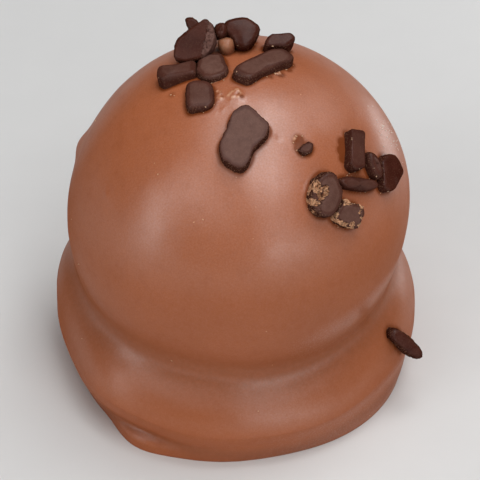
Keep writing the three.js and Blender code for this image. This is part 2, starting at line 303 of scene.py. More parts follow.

# %% [markdown]
# ## The flakes, one by one
# The flakes are broken from a thin sheet, so each is flat with its own outline. A random scatter would
# never give the waisted flake in front or the slabs that stand against each other, so each has a few
# corners in mm, anticlockwise on its own seat. The bloom number is the grey film on its face together
# with a painted sheen, calm below 1 a cleanly broken side, and torn, pockets and frayed are places where
# the crumbly inside shows.

# %% Flakes lying on the crown
CROWN_FLAKES = {
    "waisted": dict(bloom_and_sheen=0.82, calm=0.8, at=(0.5, -6.1), edge=0.16, rounding=0.4, corners=(
        (-0.7, 2), (-1, 0.9), (-1.65, -0.6), (-1.5, -1.75), (-0.6, -2.4), (0, -2.55), (0.55, -2),
        (0.85, -0.95), (1.8, 0), (2.1, 0.9), (0.65, 2.35), (0.2, 2.5))),
    "low_tile": dict(
        bloom_and_sheen=0.52, calm=0.6, at=(-2.55, -2.35), roll=11, thick=0.95, rounding=0.3, crown=0.08, corners=(
        (-1.05, 0.4), (-1, -0.9), (-0.8, -1.4), (0.6, -1.4), (1, -1.05), (1.1, -0.3), (0.95, 0.85),
        (0.5, 1.3), (-0.5, 1.4), (-0.95, 1.15))),
    "middle_tile": dict(
        bloom_and_sheen=0.85, calm=0.6, at=(-1.6, 0.65), roll=6, thick=0.85, rounding=0.2, crown=0.12, corners=(
        (-1.25, -0.65), (-0.7, -1.65), (-0.15, -1.8), (0.6, -1.55), (1, -1.25), (1.15, -0.75), (0.9, 0.65),
        (0.65, 1.35), (-0.5, 1.4), (-1, 1), (-1.15, 0.3))),
    "left_bar": dict(
        bloom_and_sheen=0.45, calm=0.3, at=(-4.2, 0.5), roll=12, turn=4, edge=0.35, rounding=0.25, crown=0.12, corners=(
        (-1.4, 0.75), (-1.5, -0.2), (-1.1, -0.95), (1.45, -0.85), (1.5, 0.7))),
    "long_bar": dict(
        bloom_and_sheen=0.72, calm=0.5, at=(2.1, 0.25), thick=1.1, edge=0.35, rounding=0.3, crown=0.06, corners=(
        (-2.3, -1.05), (-2.1, -1.4), (-1.4, -1.85), (-0.95, -1.8), (-0.2, -1.05), (0.75, -0.25), (2.1, 0.9),
        (2.3, 1.5), (1.5, 2.15), (0.7, 2), (-0.05, 1.5), (-1.25, 0.45), (-2.15, -0.55))),
    "sunken_chip": dict(bloom_and_sheen=0.5, at=(5.12, -6), thick=0.8, edge=0.2, corners=(
        (-0.2, 0.35), (-0.7, -0.3), (-0.1, -0.55), (0.4, -0.3), (0.6, 0.25), (0.3, 0.55))),
}
print(len(CROWN_FLAKES), "flakes on the crown")

# %% Flakes in a group on the right shoulder
SHOULDER_FLAKES = {
    "upright_bar": dict(
        bloom_and_sheen=0.25, calm=0.4, at=(8.4, -4.7), edge=0.2, rounding=0.25, crown=0.03, corners=(
        (-0.45, 1.6), (-0.5, -1.3), (0.05, -1.6), (0.9, -1.2), (0.9, 1.75))),
    "seed_chip": dict(
        bloom_and_sheen=0.3, calm=0.5, at=(9.9, -4.5), turn=-62, edge=0.5, rounding=0.7, crown=0.2, corners=(
        (-0.7, 0.55), (-1.2, -0.25), (-0.6, -0.6), (0.7, -0.6), (1.25, 0.1), (0.7, 0.6))),
    "right_slab": dict(calm=0.5, at=(11.25, -3.7), thick=1.05, edge=0.22, rounding=0.3, corners=(
        (-1.5, 0.6), (-1.35, -0.2), (-1.35, -1.3), (-0.8, -1.6), (0.2, -1.2), (0.8, -0.4), (1.6, 0.65),
        (0.85, 1.4), (0.2, 1.65), (-0.9, 1.3))),
    "level_bar": dict(bloom_and_sheen=0.3, calm=0.4, at=(8.75, -6.5), thick=1.0, edge=0.35, crown=0.1, corners=(
        (-1.9, 0.15), (-1.2, -0.45), (1, -0.45), (2.1, 0), (1.8, 0.5), (-1, 0.55))),
    "torn_flake": dict(
        bloom_and_sheen=0.7, pockets=((-0.8, 0.5, 0.78), (-1.2, -0.3, 0.52), (-0.85, -1.1, 0.3)),
        at=(6.35, -8.35), thick=1.4, edge=0.3, crown=0.1, corners=(
        (-0.05, 1.85), (-0.95, 1.15), (-1.35, -0.2), (-1.15, -0.95), (-0.45, -1.5), (0.4, -1.5),
        (0.9, -0.95), (1.35, 0.2), (1.05, 1), (0.65, 1.75))),
    "crumbling_flake": dict(
        bloom_and_sheen=0.7, frayed=0.93, crumble=0.5, at=(7.95, -8.45), edge=0.2, rounding=0.3, corners=(
        (-0.35, 1.3), (-1, 0.6), (-1.35, -0.1), (-0.9, -0.65), (0.2, -1), (0.9, -0.95), (1.45, 0.15),
        (1.15, 0.7), (0.2, 0.9))),
}
print(len(SHOULDER_FLAKES), "flakes on the shoulder")

# %% Flakes that stand behind the crown
LEANING_FLAKES = {
    "left_slab": dict(
        calm=0.6, torn=(0.91, -0.41, 0.85), crumble=0.35,
        at=(-2.7, 2.5), rise=1.25, tip=52, roll=-4, rounding=0.2, corners=(
        (-1.65, -0.75), (-1.5, -1.1), (-0.8, -1.4), (0.25, -1.5), (1.05, -1.1), (1.55, -0.55), (1.75, 0),
        (1.75, 0.85), (1.4, 1.4), (0, 1), (-0.95, 0.6), (-1.4, 0.1))),
    "stub": dict(calm=0.6, at=(-2.4, 4.2), rise=1.35, tip=60, turn=20, thick=0.95, edge=0.4, corners=(
        (-0.5, 1.05), (-0.6, 0.2), (-0.6, -1.7), (0.3, -1.7), (0.3, 0.9), (0.1, 1.15), (-0.3, 1.3))),
    "right_leaner": dict(
        calm=0.5, at=(0.55, 3.3), rise=1.15, tip=50, roll=6, edge=0.4, crown=0.08, corners=(
        (-1.5, 0.65), (-1.35, -0.15), (-0.8, -0.55), (-0.45, -1.1), (0.1, -1.35), (0.6, -1.1), (1, -0.6),
        (1.3, 0.25), (1.2, 0.6), (0.55, 1.05), (0.1, 1.2), (-0.75, 1))),
    "knob": dict(calm=0.5, at=(-0.8, 3.2), rise=1.5, tip=45, edge=0.4, crown=0.1, corners=(
        (-0.5, -0.5), (-0.1, -0.8), (0.35, -0.5), (0.5, 0.05), (0.3, 0.45), (-0.15, 0.5), (-0.5, 0.25))),
    "far_slab": dict(bloom_and_sheen=0.1, calm=0.5, at=(3.25, 3.3), rise=0.65, tip=35, rounding=0.2, corners=(
        (-1.25, -0.65), (-1.05, -0.95), (0.45, -0.6), (0.8, -0.2), (1, 0.25), (0.9, 0.55), (0.55, 0.7),
        (-0.1, 0.5), (-0.85, 0.25), (-1.1, -0.05))),
    "right_prop": dict(at=(0.4, 4.9), rise=0.2, tip=12, corners=(
        (-1.2, 0.8), (-1.1, -0.7), (1.2, -0.8), (1, 0.9))),
    "left_prop": dict(at=(-3, 4.1), rise=0.35, tip=10, turn=35, corners=(
        (-1.3, 0.6), (-1.2, -0.6), (1.1, -0.7), (1.3, 0.5))),
}
COATED_NUB = {
    "nub": dict(calm=0.2, at=(-0.6, 2.8), rise=0.5, tip=35, edge=0.5, rounding=0.6, corners=(
        (-0.65, 0), (-0.35, -0.65), (0, -0.8), (0.4, -0.7), (0.6, -0.3), (0.65, 0.15), (0.3, 0.45),
        (-0.3, 0.45), (-0.6, 0.25))),
}
print(len(LEANING_FLAKES), "flakes behind the crown, and a nub that the coating ran over")

# %% Flakes of the back and of the belly
BACK_FLAKES = {
    "back_plate": dict(bloom_and_sheen=0.8, at=(1.3, 11.2), turn=20, corners=(
        (-1.2, 1), (-1.3, -0.8), (0.4, -1.2), (1.3, -0.3), (0.9, 1.1))),
    "back_bar": dict(bloom_and_sheen=0.4, at=(-3.7, 10.8), turn=-35, edge=0.4, crown=0.1, corners=(
        (-1.6, 0.6), (-1.6, -0.6), (1.5, -0.7), (1.6, 0.6))),
    "back_tile": dict(bloom_and_sheen=0.2, at=(5, 11.2), turn=60, corners=(
        (-1, 0.9), (-1.1, -0.8), (0.9, -1), (1.1, 0.8))),
    "back_chip": dict(at=(-0.9, 12.2), thick=0.85, corners=(
        (-0.7, 0.4), (-0.6, -0.5), (0.6, -0.4), (0.5, 0.5))),
    "back_splinter": dict(at=(7.7, 9.8), thick=0.9, turn=-20, corners=(
        (-1.1, 0.4), (-0.9, -0.5), (1, -0.5), (0.9, 0.6))),
    "back_nib": dict(bloom_and_sheen=0.5, at=(-7.1, 9.4), thick=0.85, turn=15, corners=(
        (-0.8, 0.7), (-0.9, -0.6), (0.7, -0.8), (0.9, 0.5))),
}
BELLY_STICK = {
    "stick": dict(
        root=(13.1, -5.85, 5.05), along=(2.6, -0.4, -2.5), face=(0.3, -0.8, 0.6),
        thick=1.2, edge=0.45, rounding=0.5, corners=(
        (-2.2, 0.35), (-2.1, -0.5), (0.2, -0.62), (1.1, -0.42), (1.4, 0), (0.9, 0.45), (-0.6, 0.62))),
}
print(len(BACK_FLAKES), "flakes at the back")

# %% [markdown]
# ## A flake as a mesh
# An extruded and bevelled outline looks machine-made. Here each flake is a set of rings, up the broken
# side, over the edge and in across the face, and noise pushes the points: strongly on the broken sides
# and faintly on the face, as real chocolate is rough where it broke.

# %% The outline of a flake
OUTLINE_POINTS = 144
CORNER = 0.45
CORNER_STEPS = 7
LONGEST_ARM = 0.45


def outline(spec):
    """Evenly spaced points round a flake, with rounded corners."""
    corners, rounding = spec["corners"], spec.get("rounding", CORNER)
    curve = []
    for i, corner in enumerate(corners):
        here = np.array(corner)
        arms = [np.array(corners[i - 1]) - here, np.array(corners[(i + 1) % len(corners)]) - here]
        start, end = [here + arm * min(rounding / np.linalg.norm(arm), LONGEST_ARM) for arm in arms]
        for t in np.linspace(0, 1, CORNER_STEPS):
            curve.append((1 - t) ** 2 * start + 2 * t * (1 - t) * here + t ** 2 * end)
    curve = np.array([*curve, curve[0]])
    along = np.concatenate([[0], np.cumsum(np.linalg.norm(np.diff(curve, axis=0), axis=1))])
    places = np.arange(OUTLINE_POINTS) * along[-1] / OUTLINE_POINTS
    return np.stack([np.interp(places, along, curve[:, k]) for k in range(2)], axis=-1)


waisted = outline(CROWN_FLAKES["waisted"])
print("the waisted flake is", np.round(np.ptp(waisted, axis=0), 2), "mm")

# %% Rings up the side, over the edge and across the face
THICK = 1.25
SINK = 0.4
EDGE = 0.3
SIDE_ROWS = 9
EDGE_ROWS = 6
FACE_ROWS = 26


def flake_rings(flat, thick=THICK, edge=EDGE, crown=0.0):
    """Rings of a flake, each with its height, how much it is face and how far out."""
    length = np.linalg.norm(flat, axis=1)[:, None]
    top = thick - SINK
    rings = [(flat, height, 0.0, 1.0) for height in np.linspace(-SINK, top - edge, SIDE_ROWS)]
    for turn in np.linspace(0, np.pi / 2, EDGE_ROWS + 1)[1:]:
        inset = edge * (1 - math.cos(turn))
        height = top - edge + edge * math.sin(turn)
        rings.append((flat * (1 - inset / length), height, math.sin(turn) ** 2, 1.0))
    face = rings[-1][0]
    for share in np.linspace(1, 0, FACE_ROWS + 1)[1:-1]:
        rings.append((face * share, top + crown * (1 - share ** 2), 1.0, share))
    return rings, top + crown


rings, top = flake_rings(waisted)
print(len(rings), "rings; the face stands", top, "mm proud of the coating")

# %% Roughness of broken chocolate
NOISE_SEED = 3
SIDE_CHIPPING = 0.07
SIDE_GRAIN = 0.06
FACE_WAVE = 0.04
CHIP_SCALE = 2.1
GRAIN_SCALE = 5.5
WAVE_SCALE = 0.7
noise.seed_set(NOISE_SEED)


def rough(points, scale, seed):
    """A vector of smooth noise for each point in mm."""
    offset = Vector((17.3, -9.1, 4.7)) * seed
    return np.array([noise.noise_vector(Vector(p) * scale + offset) for p in points])


print("a push of noise:", rough([(0.2, 0.1, 0)], CHIP_SCALE, 1).round(2))

# %% Torn and frayed places
TORN_SHARP = 4.0
TORN_RAGGED = 0.2
POCKET_SHARP = 2.8
POCKET_RAGGED = 0.5
FRAY_REACH = 0.2
FRAY_RAGGED = 0.9


def brokenness(points, share, chips, torn=None, pockets=(), frayed=None):
    """How far each point lies in a torn side, a pocket or a frayed rim, from 0 to 1."""
    broken = np.zeros(len(points))
    if torn:
        beyond = points[:, 0] * torn[0] + points[:, 1] * torn[1] - torn[2] + TORN_RAGGED * chips[:, 0]
        broken = np.maximum(broken, smooth(beyond * TORN_SHARP))
    for x, y, radius in pockets:
        inward = radius - np.hypot(points[:, 0] - x, points[:, 1] - y) + POCKET_RAGGED * chips[:, 0]
        broken = np.maximum(broken, smooth(inward * POCKET_SHARP))
    if frayed:
        rim = (share + FRAY_RAGGED * chips[:, 1] - frayed) / FRAY_REACH
        broken = np.maximum(broken, smooth(rim))
    return broken


print("a torn side fades over", 1 / TORN_SHARP, "mm")

# %% One flake, weathered, in its own frame
# Towards the rim of a face the bloom and its painted sheen are cut back: painted shade on the rim
PAINTED_RIM_SHADE = 0.35
PAINTED_RIM_WIDTH = 0.14
TORN_DEPTH = 0.2
TORN_CRUMBLE = 0.9
TORN_FINE, TORN_COARSE = 0.55, 0.3


def chosen(spec, *words):
    """Those words of a flake's entry that it has."""
    return {word: spec[word] for word in words if word in spec}


def flake_points(spec, seed):
    """Points of a flake, how raw and how broken each is, and how much bloom with painted sheen it can hold,
    less at the rim as painted shade.
    """
    rings, height = flake_rings(outline(spec), **chosen(spec, "thick", "edge", "crown"))
    points = np.concatenate([np.column_stack([ring, np.full(len(ring), z)]) for ring, z, _, _ in rings])
    points = np.vstack([points, [0, 0, height]])
    facing = np.append(np.repeat([ring[2] for ring in rings], OUTLINE_POINTS), 1.0)
    share = np.append(np.repeat([ring[3] for ring in rings], OUTLINE_POINTS), 0.0)
    chips, grain, wave = [rough(points, scale, seed) for scale in (CHIP_SCALE, GRAIN_SCALE, WAVE_SCALE)]
    broken = brokenness(points, share, chips, **chosen(spec, "torn", "pockets", "frayed"))
    # Painted shade: less bloom and sheen near the rim
    rim_shade_factor = PAINTED_RIM_SHADE + (1 - PAINTED_RIM_SHADE) * smooth((1 - share) / PAINTED_RIM_WIDTH)
    raw = np.maximum(1 - facing, broken)[:, None]
    calm = spec.get("calm", 1.0)
    points = points + calm * raw * (chips * SIDE_CHIPPING + grain * SIDE_GRAIN) + wave * FACE_WAVE
    crumbs = TORN_CRUMBLE * (TORN_FINE * grain[:, 2] + TORN_COARSE * chips[:, 2])
    points[:, 2] += spec.get("crumble", 1.0) * broken * facing * (crumbs - TORN_DEPTH * broken)
    return points, np.maximum(calm * raw[:, 0], broken), broken, rim_shade_factor


points, raw, broken, rim_shade_factor = flake_points(CROWN_FLAKES["waisted"], 1)
print("one flake has", len(points), "points,", raw.mean().round(2), "of them raw")

# %% Faces between rings of points
def ring_faces(count, rows, start=0):
    """Quads between rings, one face under the first and triangles over the last."""
    faces = []
    last = start + rows * count
    for i in range(count):
        j = (i + 1) % count
        for row in range(rows - 1):
            low = start + row * count
            faces.append((low + i, low + j, low + count + j, low + count + i))
        faces.append((last - count + i, last - count + j, last))
    faces.append(tuple(start + i for i in reversed(range(count))))
    return faces


FLAKE_ROWS = SIDE_ROWS + EDGE_ROWS + FACE_ROWS - 1
print("faces of a flake:", len(ring_faces(OUTLINE_POINTS, FLAKE_ROWS)))

# %% A mesh piece of the praline
def new_object(name, data):
    """An object in the scene, for a mesh, a light or the camera."""
    item = bpy.data.objects.new(name, data)
    bpy.context.scene.collection.objects.link(item)
    return item


def mesh_piece(name, points, faces, traits):
    """A smooth-shaded object from points in mm, with a number per point for each trait."""
    mesh = bpy.data.meshes.new(name)
    mesh.from_pydata([tuple(p) for p in np.asarray(points) * MM], [], faces)
    for trait, values in traits.items():
        layer = mesh.attributes.new(trait, "FLOAT", "POINT")
        layer.data.foreach_set("value", np.asarray(values, np.float32))
    mesh.shade_smooth()
    print(name, "has", len(points), "points and", len(faces), "faces")
    return new_object(name, mesh)


# %% Flakes of one group as one piece
def placed_points(points, matrix):
    """Points of a flake, moved from its own frame to its seat."""
    return points @ np.array(matrix.to_3x3()).T + np.array(matrix.translation)


def flake_group(name, specs, matrices, first_seed):
    """All flakes of a group, at their seats, in one mesh."""
    points, faces, traits = [], [], {"raw": [], "broken": [], "bloom_and_sheen": []}
    for number, (spec, matrix) in enumerate(zip(specs, matrices)):
        flake, raw, broken, rim_shade_factor = flake_points(spec, first_seed + number)
        faces += ring_faces(OUTLINE_POINTS, FLAKE_ROWS, sum(map(len, points)))
        points.append(placed_points(flake, matrix))
        # Bloom with painted sheen, cut back at the rim as painted shade
        for values, new in zip(traits.values(), (raw, broken, rim_shade_factor * spec.get("bloom_and_sheen", 0.0))):
            values.append(new)
    traits = {trait: np.concatenate(values) for trait, values in traits.items()}
    return mesh_piece(name, np.concatenate(points), faces, traits)


def seat_of(spec):
    """The seat of a flake; the stick has a root and directions instead of a place in plan."""
    if "root" not in spec:
        return seat(spec["at"], **chosen(spec, "tip", "roll", "turn", "rise"))
    along, face = Vector(spec["along"]).normalized(), Vector(spec["face"])
    return framed(Vector(spec["root"]), along, (face - along * face.dot(along)).normalized())


print("the stick lies at", tuple(seat_of(BELLY_STICK["stick"]).translation))

# %% Make the flake pieces
GROUPS = {
    "crown_flakes": (1, CROWN_FLAKES),
    "shoulder_flakes": (11, SHOULDER_FLAKES),
    "leaning_flakes": (21, LEANING_FLAKES),
    "back_flakes": (31, BACK_FLAKES),
    "belly_stick": (51, BELLY_STICK),
    "coated_nub": (61, COATED_NUB),
}
flake_pieces, all_specs, all_seats = [], [], []
for name, (first_seed, group) in GROUPS.items():
    seats = [seat_of(spec) for spec in group.values()]
    flake_pieces.append(flake_group(name, group.values(), seats, first_seed))
    all_specs += group.values()
    all_seats += seats
nub = flake_pieces.pop()

# %% [markdown]
# ## Coating that creeps up the flakes
# Wet coating creeps up the side of a flake in a small collar. Round each flake, and in a broader stain
# beside a few, the colour turns amber: partly an amber tint of the coating, partly painted shade where
# flake and coating meet. A boolean would cut a hard edge, so the skin itself is raised close to each
# flake, and a number for each point darkens its colour.

# %% How close the skin lies to a flake
COLLAR_WIDTH = 0.2
TINT_WIDTH = 0.22
COLLAR_BELOW, FADE_BELOW = 1.6, 0.8
COLLAR_ABOVE, FADE_ABOVE = 1.2, 0.6
NEAR = 3.6


def collar_and_shade(spec, matrix):
    """The skin points near a flake, how much its collar raises each, and how much amber and painted shade
    each gets.
    """
    flat = outline(spec)
    close = np.nonzero(np.linalg.norm(skin - np.array(matrix.translation), axis=1) < NEAR)[0]
    local = placed_points(skin[close], matrix.inverted())
    gaps = np.linalg.norm(local[:, None, :2] - flat[None], axis=2)
    angle = np.arctan2(local[:, 1], local[:, 0])
    rim = np.arctan2(flat[:, 1], flat[:, 0])
    order = np.argsort(rim)
    limit = np.interp(angle, rim[order], np.linalg.norm(flat, axis=1)[order], period=2 * np.pi)
    outside = np.linalg.norm(local[:, :2], axis=1) > limit
    gap = np.where(outside, gaps.min(axis=1), 0)
    up = local[:, 2]
    level = smooth((up + COLLAR_BELOW) / FADE_BELOW) * smooth((COLLAR_ABOVE - up) / FADE_ABOVE)
    return close, level * np.exp(-(gap / COLLAR_WIDTH) ** 2), level * np.exp(-(gap / TINT_WIDTH) ** 2)


raised = np.zeros(len(skin))
amber_and_shade = np.zeros(len(skin))
for spec, matrix in zip(all_specs, all_seats):
    close, lift, tint = collar_and_shade(spec, matrix)
    raised[close] = np.maximum(raised[close], lift)
    amber_and_shade[close] = np.maximum(amber_and_shade[close], tint)
print("skin points near a flake:", int((amber_and_shade > 0.1).sum()))

# %% Collars in patches, and stains and painted shade beside some flakes
PATCH_SCALE = 0.9
TINT_LEAST = 0.45
# Spots of amber stain and painted shade beside some flakes: place in plan, strength and width
STAINS_AND_SHADE = (
    (7.85, -4.3, 1.8, 0.36), (7.8, -4.9, 1.8, 0.36), (7.9, -5.4, 1.5, 0.34), (4.65, -5.55, 1.6, 0.42),
    (4.6, -6.1, 1.4, 0.32), (0.5, -2.7, 1.1, 0.18), (0.3, -2.4, 0.7, 0.16), (-1.15, -2.2, 0.6, 0.2),
    (-0.95, -2.6, 0.6, 0.16), (-2.15, -0.75, 1.6, 0.28), (-1.6, -0.85, 1.5, 0.28), (3.35, 0.05, 1.6, 0.3),
    (3.95, 0.85, 1.5, 0.28), (2.6, -0.4, 1.0, 0.25), (-3.3, -3.45, 0.6, 0.25), (-4.65, -1.3, 0.5, 0.3))


def unevenness(scale):
    """Smooth noise at each skin point."""
    return np.array([noise.noise(Vector(p) * scale) for p in skin])


def spot(x, y, width):
    """1 on the skin over a place in plan, falling softly to 0 around it."""
    return np.exp(-(np.linalg.norm(skin - on_top(x, y), axis=1) / width) ** 2)


patches = unevenness(PATCH_SCALE)
raised *= smooth(0.55 + 1.3 * patches)
amber_and_shade *= TINT_LEAST + (1 - TINT_LEAST) * smooth(0.6 + 1.1 * patches)
for x, y, strength, width in STAINS_AND_SHADE:
    amber_and_shade = np.maximum(amber_and_shade, strength * spot(x, y, width))
print("skin points in a collar:", int((raised > 0.1).sum()))

# %% [markdown]
# ## Small unevenness of the skin
# Set chocolate waves where it ran, has pits where air bubbles burst, and pale scuffs where a flake slid
# over it. A bump map would vanish at the outline, so these are real shape, moved into the points.

# %% Waves, ripples and pits
WAVE_HEIGHT = 0.07
RIPPLE_HEIGHT = 0.012
COLLAR_HEIGHT = 0.05
SKIN_WAVE = 0.16
SKIN_RIPPLE = 0.75
PITS = (
    (-1.45, -3.9, 0.03, 0.22), (-0.9, -3.75, 0.04, 0.16), (-9.5, -5.6, 0.05, 0.3), (3.2, -5.7, -0.05, 0.2),
    (-0.15, -2.4, 0.08, 0.24), (0.15, -2.1, 0.1, 0.2), (0.2, -2.5, -0.08, 0.14), (0.55, -2.7, 0.05, 0.14),
    (-0.3, -2.9, 0.04, 0.14), (-1.2, -2.3, 0.05, 0.2), (-1.1, -2.7, 0.05, 0.14), (-0.25, -9.4, -0.05, 0.2))
wave, ripple = unevenness(SKIN_WAVE), unevenness(SKIN_RIPPLE)
relief = WAVE_HEIGHT * wave + RIPPLE_HEIGHT * ripple + COLLAR_HEIGHT * raised
for x, y, height, width in PITS:
    relief += height * spot(x, y, width)
print("relief in mm:", relief.min().round(3), "to", relief.max().round(3))

# %% Scuffs, and the relief moved into the skin
SCUFFS = (
    (-0.5, -2.5, -0.15, -2.15, 0.09), (-0.1, -2.15, 0.15, -1.95, 0.08), (0.2, -2.0, 0.42, -2.35, 0.07),
    (-0.25, -2.72, 0.25, -2.8, 0.08), (-1.3, -2.0, -1.05, -2.25, 0.06), (-1.2, -2.6, -0.8, -2.72, 0.07),
    (-1.7, -0.95, -1.4, -1.05, 0.06), (3.1, 0.0, 3.4, 0.3, 0.05), (4.3, -5.65, 4.4, -5.4, 0.05))
SCUFF_HEIGHT = 0.05
SCUFF_RAGGED = 0.12
SCUFF_GRAIN = 6.0
ragged = unevenness(SCUFF_GRAIN)
scuffed = np.zeros(len(skin))
for start_x, start_y, end_x, end_y, width in SCUFFS:
    start, end = on_top(start_x, start_y), on_top(end_x, end_y)
    along = np.clip((skin - start) @ (end - start) / ((end - start) @ (end - start)), 0, 1)
    away = np.linalg.norm(skin - start - along[:, None] * (end - start), axis=1) + SCUFF_RAGGED * ragged
    scuffed = np.maximum(scuffed, np.exp(-(np.maximum(away, 0) / width) ** 2))
relief += SCUFF_HEIGHT * scuffed
skin = skin + normals * relief[:, None]
skin[:AROUND, 2] = 0
print("scuffed skin points:", int((scuffed > 0.5).sum()))

# %% [markdown]
# ## How the skin has set
# In the crease and over the foot the colour is darkened as painted shade, and towards the top it is
# lightened as painted light. The skin has set bright on the right shoulder and low in front, and dull
# on steep sides. Painted masks would need a picture file, so each look is a number for each point,
# worked out from where it lies, and the finish reads it.

# %% Where the crease and the foot get painted shade
CREASE_REACH = 5.0
LIP_REACH = 1.0


def crease_shade(points):
    """How much painted shade darkens the colour: 1 in the crease and over the foot."""
    x, y, z = np.moveaxis(points, -1, 0)
    degrees, r = np.degrees(np.arctan2(y, x)), np.hypot(x, y)
    dome, belly = dome_distance(x, y, z), belly_distance(degrees, r, z)
    crease = 1 - np.abs(dome - belly) / CREASE_REACH
    lip = 1 - np.abs(np.minimum(dome, belly) - foot_distance(degrees, r, z)) / LIP_REACH
    return smooth(np.maximum(np.maximum(crease, lip), 0))


# Painted shade for the crease and the foot, and the height that sets painted light on the top
traits = {"collar_and_shade": amber_and_shade, "scuff": scuffed, "crease_shade": crease_shade(skin), "height": skin[:, 2] / DOME_TOP}
print("mean thickness share:", traits["crease_shade"].mean().round(2))

# %% Where it has set bright
SHOULDER = (-4, 10)
SHOULDER_LOW = 18.0
LOW_FRONT = (-58, 24)
LOW_FRONT_TOP = 5.0
LOW_FRONT_GLEAM = 0.5
RIGHT_CREASE = (-48, 20)
CREASE_HEIGHT = 10.0
CREASE_HALF = 1.6
CREASE_GLEAM = 0.9
FADE = 4.0


def gleam(points):
    """How bright the skin is on the shoulder, low in front and in the right crease."""
    x, y, z = np.moveaxis(points, -1, 0)
    degrees = np.degrees(np.arctan2(y, x))
    shoulder = bell(degrees, *SHOULDER) * smooth((z - SHOULDER_LOW) / FADE)
    front = LOW_FRONT_GLEAM * bell(degrees, *LOW_FRONT) * smooth((LOW_FRONT_TOP - z) / FADE)
    crease = np.exp(-((z - CREASE_HEIGHT) / CREASE_HALF) ** 2)
    crease = CREASE_GLEAM * bell(degrees, *RIGHT_CREASE) * crease
    return np.maximum(np.maximum(shoulder, front), crease)


traits["gleam"] = gleam(skin)
print("bright skin points:", int((traits["gleam"] > 0.5).sum()))

# %% Where it has set dull
STEEP_SHINE = 0.25
STEEP = 0.08
LEVEL = 0.42
DULL_SIDES = ((-172, 26, 32.0, 0.95), (-30, 26, 21.0, 0.8), (-112, 30, 9.5, 0.6))


def shine(points, directions):
    """How glossy the skin is: less on steep sides, and on the sides that cooled first."""
    level = STEEP_SHINE + (1 - STEEP_SHINE) * smooth((directions[:, 2] - STEEP) / (LEVEL - STEEP))
    degrees = np.degrees(np.arctan2(points[:, 1], points[:, 0]))
    for middle, width, top, strength in DULL_SIDES:
        dull = strength * bell(degrees, middle, width) * smooth((top - points[:, 2]) / FADE)
        level = level * (1 - dull)
    return level


traits["shine"] = shine(skin, normals)
coating = mesh_piece("coating", skin, ring_faces(AROUND, ROWS), traits)

# %% [markdown]
# ## Crumbs and painted glints
# Crumbs stick near the flakes as pale specks, and on the right shoulder tiny near-white specks are
# painted glints. A particle system hides its shapes from an export, so each crumb is a lumpy little
# solid at its true size, scattered with a fixed seed, and all are one mesh.

# %% One crumb
CRUMB_AROUND = 7
CRUMB_ROWS = 3
CRUMB_LUMPY, CRUMB_SCALE = 0.7, 1.3
CRUMB_SHAPE = (1.2, 0.65, 0.5)
GOLDEN_TURN = 2.4


def crumb_points(size, seed):
    """A lumpy ball of a few points, in mm."""
    around = np.arange(CRUMB_AROUND) * 2 * np.pi / CRUMB_AROUND
    rings = []
    for row in range(CRUMB_ROWS):
        down = math.pi * (CRUMB_ROWS - row) / (CRUMB_ROWS + 1)
        flat = [np.sin(down) * np.cos(around), np.sin(down) * np.sin(around)]
        rings.append(np.stack([*flat, np.full(CRUMB_AROUND, math.cos(down))], axis=-1))
    ball = np.vstack([*rings, [0, 0, 1]])
    lump = size * ball * (1 + CRUMB_LUMPY * rough(ball, CRUMB_SCALE, seed)) * np.array(CRUMB_SHAPE)
    turn = GOLDEN_TURN * seed
    spin = [[math.cos(turn), math.sin(turn), 0], [-math.sin(turn), math.cos(turn), 0], [0, 0, 1]]
    return lump @ np.array(spin)


CRUMB_POINTS = len(crumb_points(0.1, 1))
print("a crumb has", CRUMB_POINTS, "points")

# %% Places for crumbs
SIDE_SHARE = 0.3
LOWEST_ON_SIDE = -0.1
STRAY = 0.06
# Where the near-white specks of painted glint sit on the shoulder
GLINT_SPECKS_AROUND = (0.02, 0.08)
GLINT_SPECKS_SLOPE = (0.87, 0.06)
luck = np.random.default_rng(7)


def on_skin(point):
    """The skin point on the ray from the heart through a point."""
    ray = np.asarray(point) - np.array([0, 0, HEART])
    angle = math.atan2(ray[1], ray[0])
    slope = math.atan2(ray[2], math.hypot(ray[0], ray[1]))
    return np.array(ray_point(angle, slope, float(skin_reach(angle, slope))))


def near_a_flake():
    """A place on the side of a flake, or on the skin just beside it."""
    pick = luck.integers(len(all_specs) - 2)
    spec = all_specs[pick]
    flat = outline(spec)
    rim = flat[luck.integers(len(flat))]
    if luck.uniform() < SIDE_SHARE:
        height = luck.uniform(LOWEST_ON_SIDE, spec.get("thick", THICK) - SINK)
        return placed_points(np.array([[*(rim * 0.99), height]]), all_seats[pick])[0]
    away = 1 + luck.gamma(1.0, STRAY) / np.linalg.norm(rim)
    return on_skin(placed_points(np.array([[*(rim * away), 0.0]]), all_seats[pick])[0])


def anywhere():
    """A place on the skin."""
    angle, slope = luck.uniform(-math.pi, math.pi), luck.uniform(-0.5, 1.45)
    return on_skin(ray_point(angle, slope, REACH_MOST))


def on_the_shoulder():
    """A place on the bright right shoulder."""
    return on_skin(ray_point(luck.normal(*GLINT_SPECKS_AROUND), luck.normal(*GLINT_SPECKS_SLOPE), REACH_MOST))


print("the crown is", np.round(on_skin(crown), 2), "again")

# %% Scatter the crumbs
CRUMBS_NEAR_FLAKES = 200
CRUMBS_ELSEWHERE = 34
CRUMB_LEAST, CRUMB_MOST = 0.03, 0.075
BITS = (
    (-2.35, -0.6, 0.08), (-2.2, -0.85, 0.09), (-1.95, -1.0, 0.08), (-1.7, -1.1, 0.06), (2.35, -0.5, 0.07),
    (2.95, 0.0, 0.09), (3.25, 0.25, 0.08), (3.8, 0.75, 0.07), (4.45, -5.3, 0.08), (4.25, -5.8, 0.07),
    (4.9, -5.15, 0.06), (-3.35, -3.4, 0.08), (-3.1, -3.5, 0.06), (-1.9, -3.65, 0.06), (-1.5, -3.2, 0.06),
    (-4.7, -1.3, 0.07), (-4.45, -1.5, 0.05), (0.1, -8.4, 0.05))
